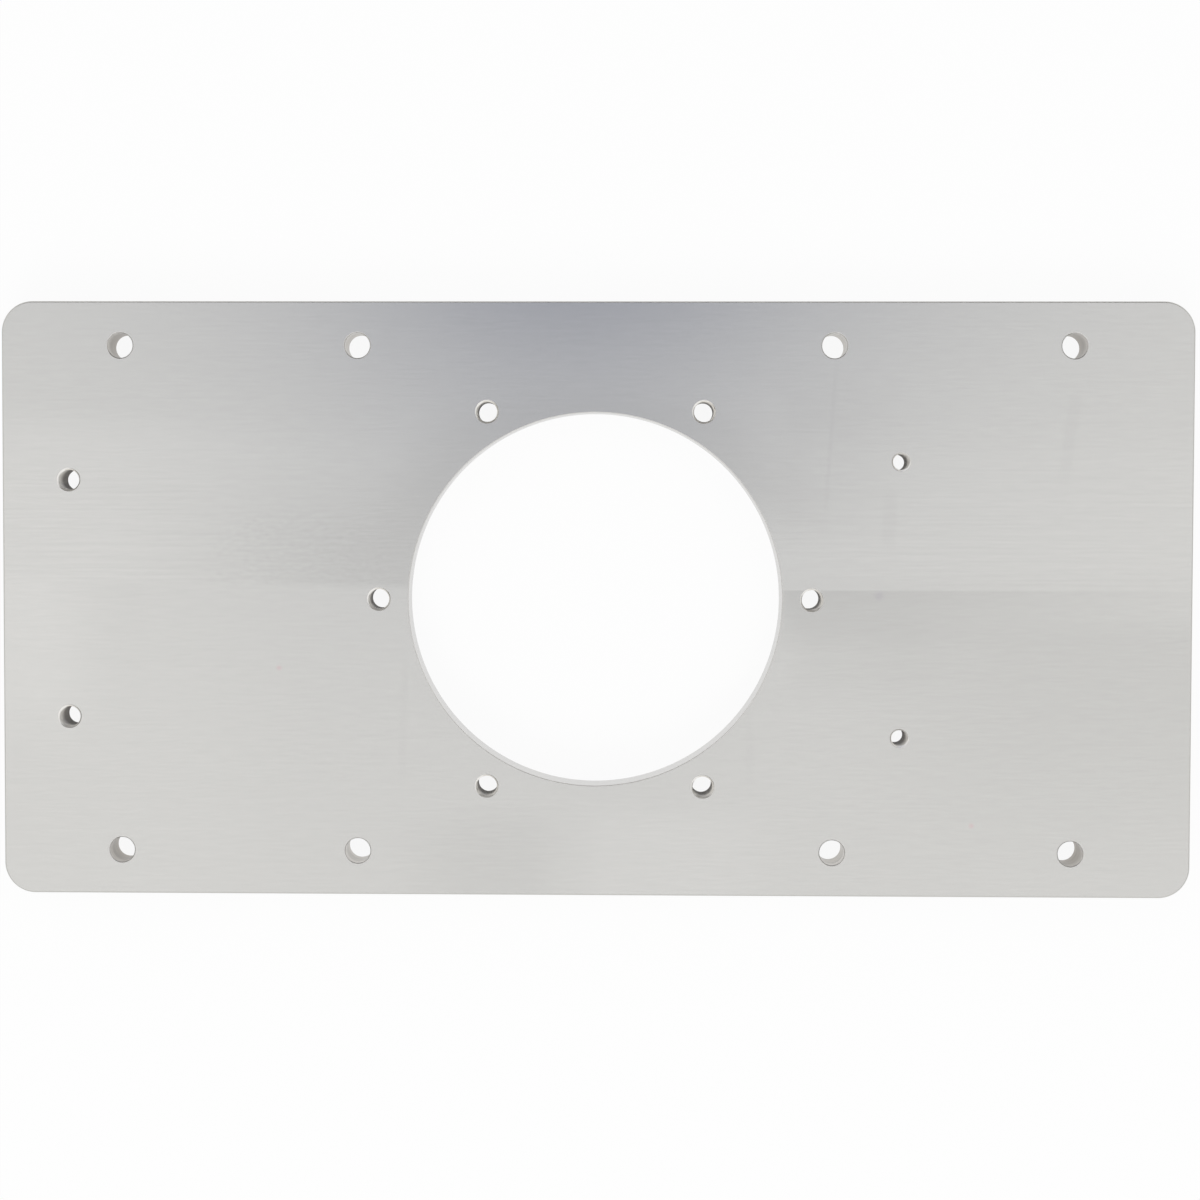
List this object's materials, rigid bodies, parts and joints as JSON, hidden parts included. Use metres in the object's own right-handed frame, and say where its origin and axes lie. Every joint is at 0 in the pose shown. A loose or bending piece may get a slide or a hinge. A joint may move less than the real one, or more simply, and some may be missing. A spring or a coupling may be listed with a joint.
{
  "type": "aluminium plate",
  "caption": "Flat rectangular aluminium mounting plate with rounded corners, a large central bore and rows and rings of plain and tapped through holes.",
  "frame": {"origin": "middle of the back face, on the axis of the bore; the plate lies flat on that face", "axes": "+X along the length, towards the end with the two small tapped holes; +Y across the width; +Z out of the front face, along the bore"},
  "size_m": [0.25, 0.125, 0.008],
  "materials": {
    "aluminium": "mill finish, fine rolled grain along the length"
  },
  "bodies": {
    "root": {"plate": "aluminium"}
  },
  "joints": []
}
